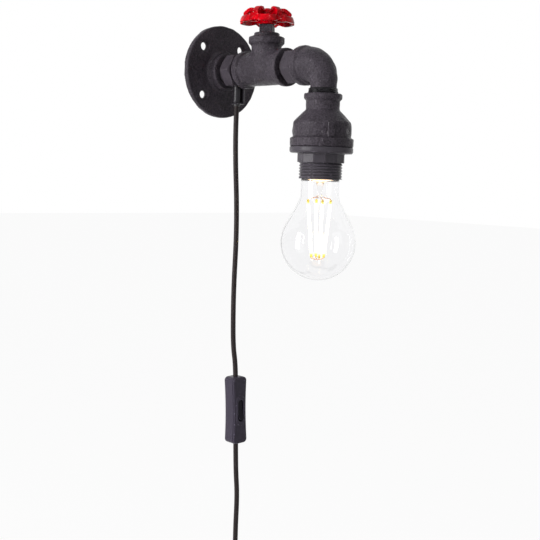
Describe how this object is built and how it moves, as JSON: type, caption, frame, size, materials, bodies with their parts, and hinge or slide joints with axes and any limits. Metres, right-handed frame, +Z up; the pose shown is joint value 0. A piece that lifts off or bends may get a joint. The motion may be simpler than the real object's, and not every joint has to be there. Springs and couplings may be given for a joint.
{
  "type": "pipe wall light",
  "caption": "Wall light of dark pipe fittings with a red handwheel, a lampholder with a clear filament bulb, and a cord with an in-line rocker switch and plug.",
  "frame": {"origin": "centre of the wall flange's back face", "axes": "+Y into the wall, so the light stands out towards -Y; +Z up; +X to the right when facing the wall"},
  "size_m": [0.0954, 0.1587, 0.6035],
  "materials": {
    "cast_fitting": "satin",
    "red_enamel": "gloss",
    "bright_steel": "satin",
    "dark_steel": "satin",
    "jointing_paste": "satin",
    "holder_plastic": "gloss",
    "insulator": "matte",
    "bulb_glass": "clear",
    "filament": "matte",
    "nickel_cap": "satin",
    "brass_part": "satin",
    "dark_rubber": "satin",
    "switch_plastic": "satin",
    "wire_brown": "satin",
    "wire_blue": "satin"
  },
  "bodies": {
    "light": {"wall_flange": "cast_fitting", "wall_nipple": "cast_fitting", "pipe_tee": "cast_fitting", "arm_nipple": "cast_fitting", "street_elbow": "cast_fitting", "thread_seal": "jointing_paste", "bell_reducer": "cast_fitting", "fixing_plate": "bright_steel", "holder_nipple": "bright_steel", "lock_nut": "bright_steel", "holder_cap": "holder_plastic", "holder_core": "insulator", "terminal_screws": "brass_part", "holder_shell": "holder_plastic", "shade_ring": "holder_plastic", "screw_shell": "brass_part", "centre_contact": "brass_part", "cord_bracket": "dark_steel", "grip_tube": "dark_steel", "grip_bush": "dark_rubber", "wire_live": "wire_brown", "wire_neutral": "wire_blue", "upper_cord": "dark_rubber", "switch_front": "switch_plastic", "switch_back": "switch_plastic", "rocker_pin": "bright_steel", "switch_contacts": "brass_part", "switch_screws": "bright_steel", "lower_cord": "dark_rubber", "cord_coil": "dark_rubber", "coil_tie": "dark_rubber", "plug_body": "switch_plastic", "plug_pins": "brass_part"},
    "wheel_lift": {"wheel_screw": "red_enamel"},
    "handwheel": {"handwheel": "red_enamel", "tee_plug": "cast_fitting"},
    "bulb_base": {"bulb_insulator": "insulator", "bulb_contact": "brass_part"},
    "bulb": {"bulb_glass": "bulb_glass", "bulb_cap": "nickel_cap", "bulb_stem": "bulb_glass", "bulb_filaments": "filament", "bulb_leads": "bright_steel"},
    "rocker": {"switch_rocker": "switch_plastic"}
  },
  "joints": [
    {"name": "wheel_rise", "type": "slide", "parent": "light", "child": "wheel_lift", "axis": [0, 0, 1], "range_m": [0, 0.0038]},
    {"name": "handwheel_turn", "type": "hinge", "parent": "wheel_lift", "child": "handwheel", "pos_m": [0, -0.06015, 0], "axis": [0, 0, 1], "range_deg": [0, 720]},
    {"name": "bulb_drop", "type": "slide", "parent": "light", "child": "bulb_base", "axis": [0, 0, -1], "range_m": [0, 0.0184]},
    {"name": "bulb_turn", "type": "hinge", "parent": "bulb_base", "child": "bulb", "pos_m": [0, -0.1287, 0], "axis": [0, 0, -1], "range_deg": [0, 1800]},
    {"name": "rocker_tilt", "type": "hinge", "parent": "light", "child": "rocker", "pos_m": [0.0089, -0.0288, -0.297], "axis": [0.9991, 0, 0.0419], "range_deg": [0, 18]}
  ],
  "couplings": [
    {"joint": "wheel_rise", "follows": "handwheel_turn", "m_per_rad": 0.00028876},
    {"joint": "bulb_drop", "follows": "bulb_turn", "m_per_rad": 0.00057615}
  ]
}
